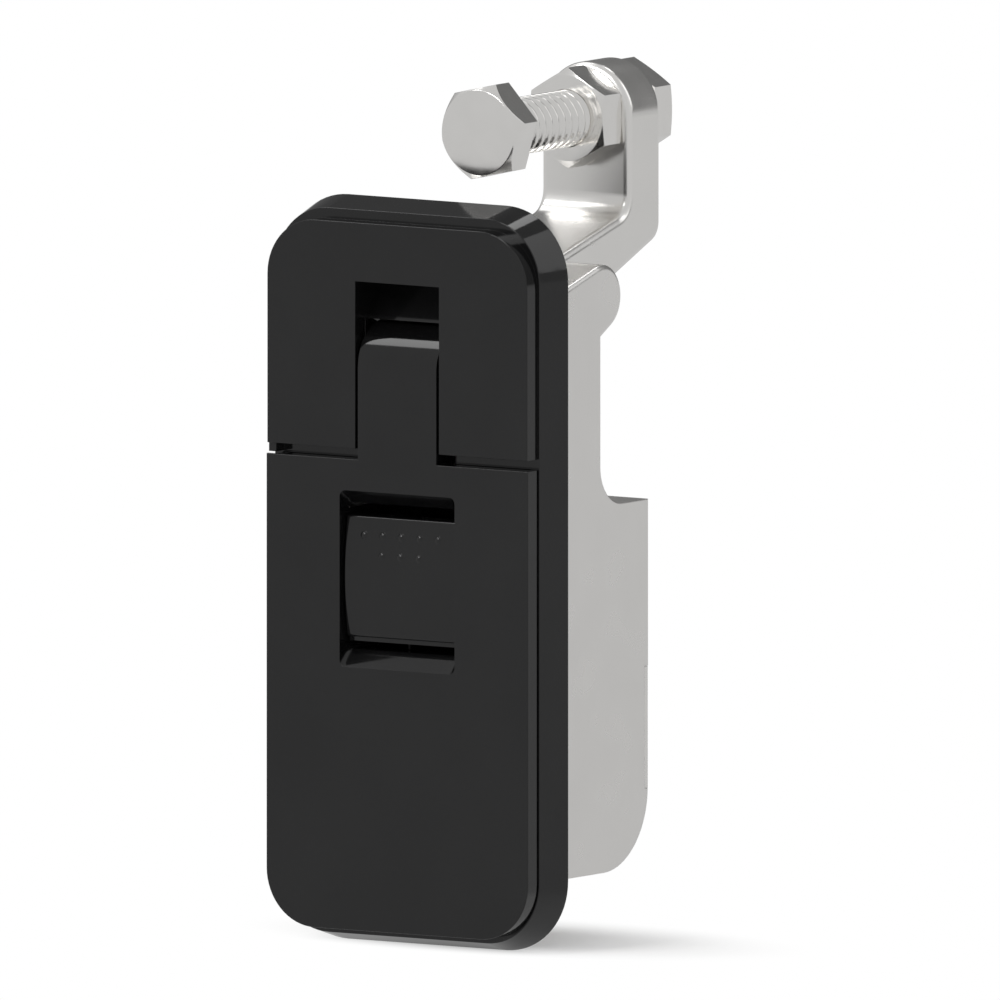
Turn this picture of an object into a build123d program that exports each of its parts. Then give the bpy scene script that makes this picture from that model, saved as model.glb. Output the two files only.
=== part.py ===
"""Lever compression latch for a panel door, with a push button in the lever.

The lever and the arm turn together through a parallel link. All lengths are
in millimetres. +Z is up, +X is to the right and the front of the latch faces
-Y. The origin is the centre of the bezel's back face, which seats the panel.
"""

import os
from math import atan, atan2, cos, degrees, hypot, radians, sin, sqrt, tan

from build123d import *

# ---- clearances -----------------------------------------------------------
PIN_FIT = 0.03  # radial, pins and screws in their holes
TURN_FIT = 0.05  # radial, parts that turn on a pin
OPEN_FIT = 0.25  # radial, the link's free end
SIDE_GAP = 0.1  # axial, beside washers
SEAT_GAP = 0.2  # lever on the bezel at rest
SWING_GAP = 0.3  # round parts that swing

# ---- bezel ----------------------------------------------------------------
bezel_width = 55.0
bezel_height = 121.8
bezel_corner = 12.0
bezel_thickness = 5.95
bezel_bevel = 1.66
bezel_edge_round = 0.15
pad_rise = 2.98
pad_margin = 2.1
pad_bottom = 20.5
pad_top_margin = 3.4
pad_corner = 9.3
slot_half_width = 8.2
slot_top = 47.9
slot_floor = 0.8
slot_foot = 4.5
pocket_overlap = 1.3
pocket_depth = 2.2
pocket_lead = 0.05
neck_opening_half = 9.35
pod_opening_gap = 0.5
lug_width = 1.4
lug_rise = 2.4
pin_seat_inset = 2.0

# ---- panel fixing and gasket ------------------------------------------------
fixing_inset_x = 7.5
fixing_inset_z = 6.4
fixing_radius = 1.65
fixing_depth = 3.0
gasket_thickness = 1.5
gasket_margin = 1.5
gasket_inner_corner = 1.0
lobe_clearance = 1.5

# ---- lever ------------------------------------------------------------------
lever_overhang = 0.15
lever_margin = 2.6
lever_top = 18.75
lever_corner = 9.3
lever_face = 2.0
lever_wall = 2.0
lever_tuck = 0.35
lever_edge_round = 0.15
neck_half_width = 7.65
neck_depth = 4.6
hub_radius = 7.33
lever_pivot_y = -1.6
lever_pivot_z = 33.8
lever_pin_radius = 2.0
lever_washer_radius = 4.3
rib_thickness = 1.2
rib_pitch = 12.0
rib_count = 3

# ---- window and button --------------------------------------------------------
window_half_width = 11.24
window_bottom = -15.3
window_top = 13.6
window_depth = 2.7
window_sill_drop = 2.7
window_head_drop = 2.2
window_corner = 1.1
pod_wall = 1.66
pod_back = 2.0
button_half_width = 10.7
button_bottom = -10.45
button_top = 9.45
button_recess = 0.8
button_crown = 0.8
button_depth = 4.6
button_skin = 1.6
button_round = 0.5
button_block_margin = 1.0
lip_height = 0.7
lip_depth = 0.6
button_pin_y = -4.4
button_pin_z = -7.6
button_pin_radius = 1.0
button_hub_radius = 2.2
button_hub_inset = 4.0
button_hub_length = 3.5
dome_radius = 0.65
dome_rise = 0.28
dome_pitch = 3.6
dome_upper_z = 6.25
dome_upper_count = 5
dome_lower_z = 3.03
dome_lower_count = 3
spring_turns = 4
spring_wire = 0.3
spring_radius = 1.65
spring_pitch = 0.8
spring_room = 0.35
spring_slot_depth = 4.0
spring_bead = 0.02

# ---- catch ----------------------------------------------------------------------
hook_half_width = 4.0
hook_plate = 1.2
hook_plate_top = 7.0
hook_bottom = -2.2
hook_thickness = 2.4
hook_reach = 12.0
hook_nose = 2.6
hook_tip = 2.9
hook_lead = 1.0
strike_y = 6.5
strike_z = 4.5
strike_radius = 2.0
catch_screw_radius = 1.0
catch_screw_head = 1.6
catch_screw_rise = 0.8
catch_screw_length = 3.6
catch_screw_x = 2.2
catch_screw_z = 4.3

# ---- housing ----------------------------------------------------------------------
housing_half_width = 17.9
housing_side_wall = 2.5
housing_wall = 2.2
housing_bottom = -50.4
housing_depth = 37.7
housing_corner = 13.0
shoulder_rise = 0.65
step_z = 9.57
step_round = 6.5
upper_depth = 23.8
lobe_foot_z = 36.9
lobe_radius = 5.4
roof_slope = 16.3
roof_front_z = 44.35
housing_round = 0.8
arm_slot_bottom = 25.0
arm_slot_front = 14.5
blind_depth = 1.2
boss_overlap = 0.5

# ---- arm --------------------------------------------------------------------------
arm_half_width = 8.7
arm_pivot_y = 24.85
arm_pivot_z = 43.65
arm_hub_radius = 5.5
arm_pin_radius = 2.5
arm_front = 46.2
arm_rear = 55.5
arm_front_slope = 15.3
arm_heel_z = 50.6
arm_inner_bend = 3.8
arm_outer_bend = 3.4
arm_round = 1.2
washer_thickness = 0.7

# ---- adjusting bolt -----------------------------------------------------------------
bolt_z = 70.5
bolt_radius = 4.7
bolt_thread_fit = 0.06
bolt_hole_fit = 0.3
bolt_head_front = 14.8
bolt_head_height = 5.4
bolt_end_past_nut = 2.0
bolt_end_chamfer = 0.6
hex_across_flats = 14.29
hex_face_inset = 0.15
bolt_head_turn = 13.0
bolt_head_slope = 52.0
nut_height = 5.5
nut_turn = 30.0
nut_slope = 20.0

# ---- link ---------------------------------------------------------------------------
crank = 9.0
crank_angle = -25.0
lever_travel = 90.0
link_half_width = 3.0
link_round = 2.6
link_pin_radius = 1.5
crank_eye_radius = 3.5

# ---- screws ---------------------------------------------------------------------------
screw_radius = 1.25
screw_head_radius = 2.3
screw_length = 11.0
screw_tip_room = 0.5
screw_offset = 0.5
screw_boss_depth = 9.0
screw_boss_half = 3.0
keeper_half = 3.5
keeper_depth = 6.0
screw_upper_z = 13.0
screw_lower_z = -44.0

# ---- back cover -------------------------------------------------------------------------
cover_thickness = 0.95
cover_bottom = -37.6
cover_shoulder = -17.7
cover_top = 5.5
cover_half_width = 15.2
cover_overlap = 4.2
cover_screw_inset = 2.6
cover_screw_radius = 1.25
cover_screw_head = 2.1
cover_screw_rise = 1.0
cover_screw_length = 6.0
cover_boss_radius = 2.6

# ---- worked-out places ---------------------------------------------------------------------
pad_half_width = bezel_width / 2 - pad_margin
pad_top = bezel_height / 2 - pad_top_margin
fixing_x = bezel_width / 2 - fixing_inset_x
fixing_z = bezel_height / 2 - fixing_inset_z
lever_half_width = pad_half_width + lever_overhang
lever_bottom = lever_margin - bezel_height / 2
flat_front = -bezel_thickness
pad_front = flat_front - pad_rise
pocket_floor = flat_front + pocket_depth
lever_front = pad_front
flange_back = flat_front - SEAT_GAP
lever_body_back = pocket_floor - SWING_GAP
pocket_half_width = lever_half_width - pocket_overlap
pocket_bottom = lever_bottom + pocket_overlap
pocket_top = lever_top + pocket_lead
cavity_half_width = housing_half_width - housing_side_wall
lug_inner = lug_width - pad_half_width
lug_front = flat_front - lug_rise
lug_bottom = lever_top + SWING_GAP
lug_sweep = hypot(lug_front - lever_pivot_y, lug_bottom - lever_pivot_z) + SWING_GAP
lever_pin_seat = cavity_half_width - pin_seat_inset
lever_pivot = (lever_pivot_y, lever_pivot_z)
arm_pivot = (arm_pivot_y, arm_pivot_z)
link_direction = degrees(atan2(arm_pivot_z - lever_pivot_z, arm_pivot_y - lever_pivot_y))
link_length = hypot(arm_pivot_y - lever_pivot_y, arm_pivot_z - lever_pivot_z)
link_gap = link_half_width + SWING_GAP
boss_face = arm_half_width + washer_thickness + 2 * SIDE_GAP
blind_end = cavity_half_width + blind_depth
pod_half_width = window_half_width + pod_wall
pod_top = window_top - window_head_drop + pod_wall
pod_bottom = window_bottom + window_sill_drop - pod_wall
screw_x = cavity_half_width + screw_offset
screw_places = [(x, z) for z in (screw_upper_z, screw_lower_z) for x in (-screw_x, screw_x)]
cover_screw_x = cover_half_width - cover_screw_inset
cover_screw_z = (cover_bottom + cover_screw_inset, cover_top - cover_screw_inset)
cover_screw_places = [(x, z) for z in cover_screw_z for x in (-cover_screw_x, cover_screw_x)]
catch_screw_places = [(x, catch_screw_z) for x in (-catch_screw_x, catch_screw_x)]


def polar(start, angle, distance):
    """Point at a distance and an angle in degrees from a start point."""
    return (start[0] + distance * cos(radians(angle)), start[1] + distance * sin(radians(angle)))


def facing(y):
    """Sketch plane across the latch at a depth y, with its normal to the front."""
    return Plane.XZ.offset(-y)


def across(x):
    """Sketch plane along the latch's side at x, local axes +Y and +Z."""
    return Plane.YZ.offset(x)


def tangent_point(start, centre, radius, side):
    """Touching point of a line from start to a circle, on the side given by +1 or -1."""
    distance = hypot(start[0] - centre[0], start[1] - centre[1])
    reach = sqrt(distance**2 - radius**2)
    aim = degrees(atan2(centre[1] - start[1], centre[0] - start[0]))
    return polar(start, aim + side * degrees(atan2(radius, reach)), reach)


def swing_room(eye, first, travel, half, length):
    """Corners of the room that a link needs as it turns about an eye from a first angle."""
    last = first + travel
    edge_first = polar(eye, first - 90, half)
    edge_last = polar(eye, last + 90, half)
    return [edge_first, polar(edge_first, first, length), polar(edge_last, last, length), edge_last]


def pan_head_screws(places, seat, head, rise, radius, length):
    """Screws driven in from the back, their heads on a face at the depth seat."""
    with BuildPart() as screws:
        with BuildSketch(facing(seat)):
            with Locations(*places):
                Circle(head)
        extrude(amount=-rise)
        with BuildSketch(facing(seat)):
            with Locations(*places):
                Circle(radius)
        extrude(amount=length)
    return screws


lever_eye = polar(lever_pivot, crank_angle, crank)
arm_eye = polar(arm_pivot, crank_angle, crank)
link_room = link_round + 2 * SWING_GAP
link_span = link_length + link_room

# ---- bezel -------------------------------------------------------------------------------
with BuildPart() as bezel:
    with BuildSketch(Plane.XZ):
        RectangleRounded(bezel_width, bezel_height, bezel_corner)
    extrude(amount=bezel_thickness, taper=degrees(atan(bezel_bevel / bezel_thickness)))
    fillet(bezel.faces().sort_by(Axis.Y)[0].edges(), bezel_edge_round)
    with BuildSketch(facing(flat_front)) as pad_outline:
        with Locations((0, (pad_bottom + pad_top) / 2)):
            Rectangle(2 * pad_half_width, pad_top - pad_bottom)
        fillet(pad_outline.vertices().group_by(Axis.Y)[-1], pad_corner)
    extrude(amount=pad_rise, both=True)
    fillet(bezel.faces().sort_by(Axis.Y)[0].edges(), bezel_edge_round)
    # stop lug at the left end of the groove above the lever
    with BuildSketch(facing(flat_front)):
        with Locations((lug_inner, lug_bottom)):
            Rectangle(lug_width, pad_bottom - lug_bottom, align=(Align.MAX, Align.MIN))
    extrude(amount=lug_rise)
    # pocket for the back of the lever
    with BuildSketch(facing(flat_front)) as pocket_outline:
        with Locations((0, (pocket_bottom + pocket_top) / 2)):
            Rectangle(2 * pocket_half_width, pocket_top - pocket_bottom)
        fillet(pocket_outline.vertices().group_by(Axis.Y)[0], lever_corner - pocket_overlap)
    extrude(amount=-pocket_depth, mode=Mode.SUBTRACT)
    # slot in the pad for the neck, with a floor that slopes down to the hub
    hub_opening_top = lever_pivot_z + hub_radius + SWING_GAP
    with BuildSketch(Plane.YZ):
        with BuildLine():
            Polyline(
                (pad_front, pocket_top),
                (pad_front, slot_top),
                (-slot_floor, slot_top),
                (-slot_foot, hub_opening_top),
                (-slot_foot, pocket_top),
                close=True,
            )
        make_face()
    extrude(amount=slot_half_width, both=True, mode=Mode.SUBTRACT)
    # through openings for the hub, the neck and the button's pod
    pod_opening_bottom = pod_bottom - 4 * pod_opening_gap - SWING_GAP
    with BuildSketch(Plane.XZ):
        with Locations((0, (pocket_top + hub_opening_top) / 2)):
            Rectangle(2 * neck_opening_half, hub_opening_top - pocket_top)
        with Locations((0, (pod_opening_bottom + pocket_top) / 2)):
            Rectangle(2 * (pod_half_width + pod_opening_gap), pocket_top - pod_opening_bottom)
    extrude(amount=bezel_thickness, mode=Mode.SUBTRACT)
    # open-backed seats for the lever pin
    with BuildSketch(Plane.YZ):
        with Locations(lever_pivot):
            Circle(lever_pin_radius + PIN_FIT)
        with Locations((lever_pivot_y / 2, lever_pivot_z)):
            Rectangle(-lever_pivot_y, 2 * (lever_pin_radius + PIN_FIT))
    extrude(amount=lever_pin_seat, both=True, mode=Mode.SUBTRACT)
    # blind tapped holes for the panel screws
    with Locations(Plane.XZ):
        with GridLocations(2 * fixing_x, 2 * fixing_z, 2, 2):
            Cylinder(fixing_radius, 2 * fixing_depth, mode=Mode.SUBTRACT)
    # countersunk holes for the housing screws
    with Locations(facing(pocket_floor)):
        with Locations(*screw_places):
            CounterSinkHole(screw_radius + PIN_FIT, screw_head_radius + PIN_FIT, counter_sink_angle=90)

# ---- gasket --------------------------------------------------------------------------------
with BuildPart() as gasket:
    with BuildSketch(Plane.XZ.offset(-gasket_thickness)):
        RectangleRounded(
            bezel_width - 2 * gasket_margin,
            bezel_height - 2 * gasket_margin,
            bezel_corner - gasket_margin,
        )
        inner_top = arm_pivot_z + lobe_radius + lobe_clearance
        inner_bottom = housing_bottom - SWING_GAP
        with Locations((0, (inner_top + inner_bottom) / 2)):
            RectangleRounded(
                2 * (housing_half_width + SWING_GAP),
                inner_top - inner_bottom,
                gasket_inner_corner,
                mode=Mode.SUBTRACT,
            )
        with GridLocations(2 * fixing_x, 2 * fixing_z, 2, 2):
            Circle(fixing_radius + 2 * SWING_GAP, mode=Mode.SUBTRACT)
    extrude(amount=gasket_thickness)

# ---- housing ---------------------------------------------------------------------------------
roof_touch = polar(arm_pivot, 90 + roof_slope, lobe_radius)
roof_knee_y = roof_touch[0] - (roof_touch[1] - roof_front_z) / tan(radians(roof_slope))
lobe_foot = (upper_depth, lobe_foot_z)
shoulder_depth = housing_depth + shoulder_rise
lobe_touch = tangent_point(lobe_foot, arm_pivot, lobe_radius, -1)

with BuildSketch() as side_outline:
    with BuildLine():
        Polyline(
            (0, housing_bottom),
            (housing_depth, housing_bottom),
            (housing_depth, step_z),
            (upper_depth, step_z),
            lobe_foot,
            lobe_touch,
            arm_pivot,
            roof_touch,
            (roof_knee_y, roof_front_z),
            (0, roof_front_z),
            close=True,
        )
    make_face()
    corners = side_outline.vertices()
    fillet(corners.sort_by_distance((housing_depth, housing_bottom))[0], housing_corner)
    corners = side_outline.vertices()
    fillet(corners.sort_by_distance((upper_depth, step_z))[0], step_round)
    with Locations(arm_pivot):
        Circle(lobe_radius)

with BuildSketch() as cavity_outline:
    offset(side_outline.sketch, amount=-housing_wall)

with BuildPart() as housing:
    with BuildSketch(Plane.YZ):
        add(side_outline.sketch)
        # raised back above the shoulder, beside the cover
        with BuildLine():
            Polyline(
                (housing_depth, cover_shoulder),
                (shoulder_depth, cover_shoulder + shoulder_rise),
                (shoulder_depth, step_z),
                (housing_depth, step_z),
                close=True,
            )
        make_face()
    extrude(amount=housing_half_width, both=True)
    sides = housing.faces().filter_by(Axis.X)
    back_rims = sides.edges().filter_by_position(
        Axis.Y, shoulder_depth - SIDE_GAP, shoulder_depth + SIDE_GAP
    )
    roof_rims = sides.edges().filter_by_position(Axis.Z, lobe_foot_z, 2 * lobe_foot_z)
    roof_rims = roof_rims.filter_by_position(Axis.Y, SIDE_GAP, shoulder_depth)
    fillet(back_rims + roof_rims, housing_round)
    # cavity, open to the front
    with BuildSketch(Plane.YZ):
        add(cavity_outline.sketch)
        with Locations((-2 * housing_wall, 0)):
            add(cavity_outline.sketch)
    extrude(amount=cavity_half_width, both=True, mode=Mode.SUBTRACT)
    # slot for the arm through the roof and the upper rear wall
    with BuildSketch(Plane.YZ):
        with Locations((arm_slot_front, arm_slot_bottom)):
            Rectangle(
                arm_pivot_y + lobe_radius + SWING_GAP - arm_slot_front,
                arm_pivot_z + lobe_radius + SWING_GAP - arm_slot_bottom,
                align=(Align.MIN, Align.MIN),
            )
    extrude(amount=boss_face, both=True, mode=Mode.SUBTRACT)
    # bosses that carry the arm pin, inside the lobes
    for side in (1, -1):
        with BuildSketch(across(side * boss_face)):
            with Locations(arm_pivot):
                Circle(lobe_radius)
        extrude(amount=side * (cavity_half_width - boss_face + boss_overlap))
    # pads that close the seats of the lever pin
    for side in (1, -1):
        with BuildSketch(across(side * (neck_opening_half + 2 * SWING_GAP))):
            with Locations((lever_pivot_y + lever_pin_radius + TURN_FIT, lever_pivot_z)):
                Rectangle(keeper_depth, 2 * keeper_half, align=(Align.MIN, Align.CENTER))
        extrude(amount=side * (cavity_half_width - neck_opening_half))
    # bosses and holes of the housing screws
    boss_inner = pod_half_width + pod_opening_gap + SIDE_GAP
    with BuildSketch(Plane.XZ):
        for x, z in screw_places:
            side = 1 if x > 0 else -1
            with Locations((side * (boss_inner + cavity_half_width) / 2, z)):
                Rectangle(cavity_half_width - boss_inner + 2 * boss_overlap, 2 * screw_boss_half)
    extrude(amount=-screw_boss_depth)
    with Locations(Plane.XZ):
        with Locations(*screw_places):
            Cylinder(
                screw_radius + PIN_FIT,
                2 * (screw_length + pocket_floor + screw_tip_room),
                mode=Mode.SUBTRACT,
            )
    # access hole in the back with screw bosses, and the seat of its cover
    with BuildSketch(facing(housing_depth - cover_thickness)):
        with Locations(*cover_screw_places):
            Circle(cover_boss_radius)
    extrude(amount=cover_screw_length + housing_wall - cover_thickness)
    with BuildSketch(facing(housing_depth + 1)):
        with Locations((0, (cover_bottom + cover_top) / 2)):
            Rectangle(
                2 * (cover_half_width - 2 * cover_overlap),
                cover_top - cover_bottom - 2 * cover_overlap,
            )
    extrude(amount=housing_wall + 2, mode=Mode.SUBTRACT)
    with BuildSketch(facing(housing_depth - cover_thickness)) as cover_seat:
        with Locations((0, (cover_bottom + cover_top) / 2)):
            Rectangle(2 * (cover_half_width + PIN_FIT), cover_top - cover_bottom + 2 * PIN_FIT)
        with Locations((0, (cover_bottom + cover_shoulder) / 2)):
            Rectangle(
                2 * housing_half_width + 2,
                cover_shoulder - cover_bottom + 2 * PIN_FIT,
            )
    extrude(amount=-2 * cover_thickness - shoulder_rise, mode=Mode.SUBTRACT)
    with Locations(facing(housing_depth)):
        with Locations(*cover_screw_places):
            Cylinder(
                cover_screw_radius + PIN_FIT,
                2 * (cover_screw_length + screw_tip_room),
                mode=Mode.SUBTRACT,
            )
    # bores of the arm pin and the strike bar, open on the left and blind on the right
    for centre, radius in ((arm_pivot, arm_pin_radius), ((strike_y, strike_z), strike_radius)):
        with BuildSketch(across(-housing_half_width)):
            with Locations(centre):
                Circle(radius + PIN_FIT)
        extrude(amount=housing_half_width + blind_end, mode=Mode.SUBTRACT)

# ---- back cover ----------------------------------------------------------------------------------
with BuildPart() as back_cover:
    with BuildSketch(facing(housing_depth)):
        with Locations((0, (cover_bottom + cover_top) / 2)):
            Rectangle(2 * cover_half_width, cover_top - cover_bottom)
        with Locations((0, (cover_bottom + cover_shoulder) / 2)):
            Rectangle(2 * housing_half_width, cover_shoulder - cover_bottom)
        with Locations(*cover_screw_places):
            Circle(cover_screw_radius + PIN_FIT, mode=Mode.SUBTRACT)
    extrude(amount=cover_thickness)

# ---- lever ---------------------------------------------------------------------------------------
with BuildPart() as lever:
    with BuildSketch(facing(lever_front)) as flange_outline:
        with Locations((0, (lever_bottom + lever_top) / 2)):
            Rectangle(2 * lever_half_width, lever_top - lever_bottom)
        fillet(flange_outline.vertices().group_by(Axis.Y)[0], lever_corner)
    extrude(amount=lever_front - flange_back)
    fillet(lever.faces().sort_by(Axis.Y)[0].edges(), lever_edge_round)
    # body that nests in the bezel's pocket, dished from the back
    with BuildSketch(facing(flange_back)) as body_outline:
        with Locations((0, (pocket_bottom + pocket_top) / 2)):
            Rectangle(
                2 * (pocket_half_width - lever_tuck),
                pocket_top - pocket_bottom - 2 * lever_tuck - 2 * pocket_overlap,
            )
        fillet(body_outline.vertices().group_by(Axis.Y)[0], lever_corner - pocket_overlap - lever_tuck)
    extrude(amount=flange_back - lever_body_back)
    with BuildSketch(facing(lever_front + lever_face)):
        offset(body_outline.sketch, amount=-lever_wall)
    extrude(amount=lever_front + lever_face - lever_body_back, mode=Mode.SUBTRACT)
    # ribs behind the pull
    for i in range(rib_count):
        with BuildSketch(facing(lever_front + lever_face)):
            with Locations((0, pod_bottom - (i + 1) * rib_pitch)):
                Rectangle(2 * (pocket_half_width - lever_tuck) - lever_wall, rib_thickness)
        extrude(amount=lever_front + lever_face - lever_body_back)
    # pod round the button
    with BuildSketch(facing(lever_front + lever_face)):
        with Locations((0, (pod_bottom + pod_top) / 2)):
            Rectangle(2 * pod_half_width, pod_top - pod_bottom)
    extrude(amount=lever_front + lever_face - pod_back)
    # window, with a sloped head and sill in front of the pod's straight bore
    sill_in = window_bottom + window_sill_drop
    head_in = window_top - window_head_drop
    with BuildSketch(facing(lever_front)):
        with Locations((0, (window_bottom + window_top) / 2)):
            RectangleRounded(2 * window_half_width, window_top - window_bottom, window_corner)
    with BuildSketch(facing(lever_front + window_depth)):
        with Locations((0, (sill_in + head_in) / 2)):
            RectangleRounded(2 * window_half_width, head_in - sill_in, window_corner)
    loft(ruled=True, mode=Mode.SUBTRACT)
    with BuildSketch(facing(lever_front + window_depth)):
        with Locations((0, (sill_in + head_in) / 2)):
            RectangleRounded(2 * window_half_width, head_in - sill_in, window_corner)
    extrude(amount=lever_front + window_depth - pod_back, mode=Mode.SUBTRACT)
    # relief that lets the top corner swing past the stop lug
    with BuildSketch(across(lug_inner + SWING_GAP)):
        with Locations(lever_pivot):
            Circle(lug_sweep)
    extrude(amount=-lever_half_width - lug_inner - SWING_GAP, mode=Mode.SUBTRACT)
    # neck, hub and crank ears
    with BuildSketch(Plane.YZ) as neck_outline:
        with Locations(lever_pivot):
            Circle(hub_radius)
        with BuildLine():
            Polyline(
                (lever_front, lever_top - lever_face),
                (lever_front + neck_depth, lever_top - lever_face),
                (lever_front + neck_depth, lever_pivot_z),
                (lever_front, lever_pivot_z),
                close=True,
            )
        make_face()
        eye_touch_low = polar(lever_eye, crank_angle - 90, crank_eye_radius)
        eye_touch_high = polar(lever_eye, crank_angle + 90, crank_eye_radius)
        with BuildLine():
            Polyline(
                lever_pivot,
                polar(lever_pivot, crank_angle - 90, hub_radius),
                eye_touch_low,
                eye_touch_high,
                polar(lever_pivot, crank_angle + 90, hub_radius),
                close=True,
            )
        make_face()
        with Locations(lever_eye):
            Circle(crank_eye_radius)
    extrude(amount=neck_half_width, both=True)
    # room for the link between the crank ears
    with BuildSketch(Plane.YZ):
        with BuildLine():
            Polyline(
                *swing_room(lever_eye, link_direction, lever_travel, link_room, link_span),
                close=True,
            )
        make_face()
        with Locations(lever_eye):
            Circle(link_room)
    extrude(amount=link_gap, both=True, mode=Mode.SUBTRACT)
    # bores
    with BuildSketch(Plane.YZ):
        with Locations(lever_pivot):
            Circle(lever_pin_radius + TURN_FIT)
        with Locations(lever_eye):
            Circle(link_pin_radius + PIN_FIT)
        with Locations((button_pin_y, button_pin_z)):
            Circle(button_pin_radius + PIN_FIT)
    extrude(amount=lever_half_width + 1, both=True, mode=Mode.SUBTRACT)

# ---- lever pin and its washers -------------------------------------------------------------------
with BuildPart() as lever_pin:
    with BuildSketch(Plane.YZ):
        with Locations(lever_pivot):
            Circle(lever_pin_radius)
    extrude(amount=lever_pin_seat - SIDE_GAP, both=True)

with BuildPart() as lever_washers:
    for side in (1, -1):
        with BuildSketch(across(side * (neck_half_width + SIDE_GAP))):
            with Locations(lever_pivot):
                Circle(lever_washer_radius)
                Circle(lever_pin_radius + TURN_FIT, mode=Mode.SUBTRACT)
        extrude(amount=side * (neck_opening_half - neck_half_width - 2 * SIDE_GAP))

# ---- button --------------------------------------------------------------------------------------
button_front = lever_front + button_recess
button_mid = (button_bottom + button_top) / 2
button_back = button_front + button_depth
spring_bay = spring_radius + spring_room + spring_wire
with BuildPart() as button:
    with BuildSketch(Plane.YZ) as button_outline:
        with BuildLine():
            ThreePointArc(
                (button_front + button_crown, button_bottom),
                (button_front, button_mid),
                (button_front + button_crown, button_top),
            )
            Polyline(
                (button_front + button_crown, button_top),
                (button_back, button_top),
                (button_back, button_bottom),
                (button_front + button_crown, button_bottom),
            )
        make_face()
    extrude(amount=button_half_width, both=True)
    fillet(button.edges().filter_by(Axis.X).group_by(Axis.Y)[0], button_round)
    # hollow back
    with BuildSketch(facing(button_back)):
        with Locations((0, button_mid)):
            Rectangle(2 * (button_half_width - button_skin), button_top - button_bottom - 2 * button_skin)
    extrude(amount=button_depth - button_crown - button_skin, mode=Mode.SUBTRACT)
    # mounting block for the catch
    with BuildSketch(facing(button_back)):
        with Locations((0, (button_mid + button_top) / 2 - button_skin)):
            Rectangle(2 * (hook_half_width + button_block_margin), button_top - button_mid)
    extrude(amount=button_depth - button_crown - button_skin / 2)
    # hubs on the pin
    for side in (1, -1):
        with BuildSketch(across(side * (button_half_width - button_hub_inset))):
            with Locations((button_pin_y, button_pin_z)):
                Circle(button_hub_radius)
        extrude(amount=side * button_hub_length)
    # room for the spring round the pin
    with BuildSketch(Plane.YZ):
        with Locations((button_pin_y, button_pin_z)):
            Circle(spring_bay)
            Rectangle(spring_slot_depth, 2 * spring_bay, align=(Align.MIN, Align.CENTER))
    extrude(amount=spring_turns * spring_pitch / 2 + 2 * spring_wire, both=True, mode=Mode.SUBTRACT)
    with BuildSketch(Plane.YZ):
        with Locations((button_pin_y, button_pin_z)):
            Circle(button_pin_radius + TURN_FIT)
    extrude(amount=button_half_width + 1, both=True, mode=Mode.SUBTRACT)
    # lip under the lower edge
    with BuildSketch(facing(button_front + button_crown + lip_depth)):
        with Locations((0, button_bottom)):
            Rectangle(2 * button_half_width, lip_height, align=(Align.CENTER, Align.MAX))
    extrude(amount=-button_skin)
    # rows of grip domes on the crowned face
    crown_radius = (((button_top - button_bottom) / 2) ** 2 + button_crown**2) / (2 * button_crown)
    dome_ball = (dome_radius**2 + dome_rise**2) / (2 * dome_rise)
    for z, count in ((dome_upper_z, dome_upper_count), (dome_lower_z, dome_lower_count)):
        crown_y = button_front + crown_radius - sqrt(crown_radius**2 - (z - button_mid) ** 2)
        with Locations((0, crown_y + dome_ball - dome_rise, z)):
            with GridLocations(dome_pitch, 1, count, 1):
                Sphere(dome_ball, rotation=(90, 0, 0))
    # holes of the catch screws
    with Locations(facing(button_back)):
        with Locations(*catch_screw_places):
            Cylinder(
                catch_screw_radius + PIN_FIT,
                2 * (catch_screw_length - hook_plate + screw_tip_room),
                mode=Mode.SUBTRACT,
            )

with BuildPart() as button_pin:
    with BuildSketch(Plane.YZ):
        with Locations((button_pin_y, button_pin_z)):
            Circle(button_pin_radius)
    extrude(amount=pod_half_width - SIDE_GAP, both=True)

# ---- button spring -------------------------------------------------------------------------------
spring_half = spring_turns * spring_pitch / 2
sill_leg = button_pin_z - (window_bottom + window_sill_drop) - SIDE_GAP
back_leg = hook_bottom - SWING_GAP - button_pin_z
with BuildPart() as coil:
    # wound about local Z, with one leg to the pod's sill and one up the button's back
    with BuildLine() as turns:
        Helix(spring_pitch, 2 * spring_half, spring_radius)
    with BuildSketch(Plane(turns.line @ 0, z_dir=turns.line % 0)):
        Circle(spring_wire)
    sweep(path=turns.line)
    with Locations((spring_radius, 0, 0), (spring_radius, 0, 2 * spring_half)):
        Sphere(spring_wire + spring_bead)
    with Locations((spring_radius, (spring_wire - sill_leg) / 2, 0)):
        Cylinder(spring_wire, sill_leg + spring_wire, rotation=(90, 0, 0))
    with Locations((spring_radius, (back_leg - spring_wire) / 2, 2 * spring_half)):
        Cylinder(spring_wire, back_leg + spring_wire, rotation=(90, 0, 0))
spring_seat = Plane((-spring_half, button_pin_y, button_pin_z), x_dir=(0, 1, 0), z_dir=(1, 0, 0))
with BuildPart() as button_spring:
    with Locations(spring_seat):
        add(coil.part)

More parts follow.
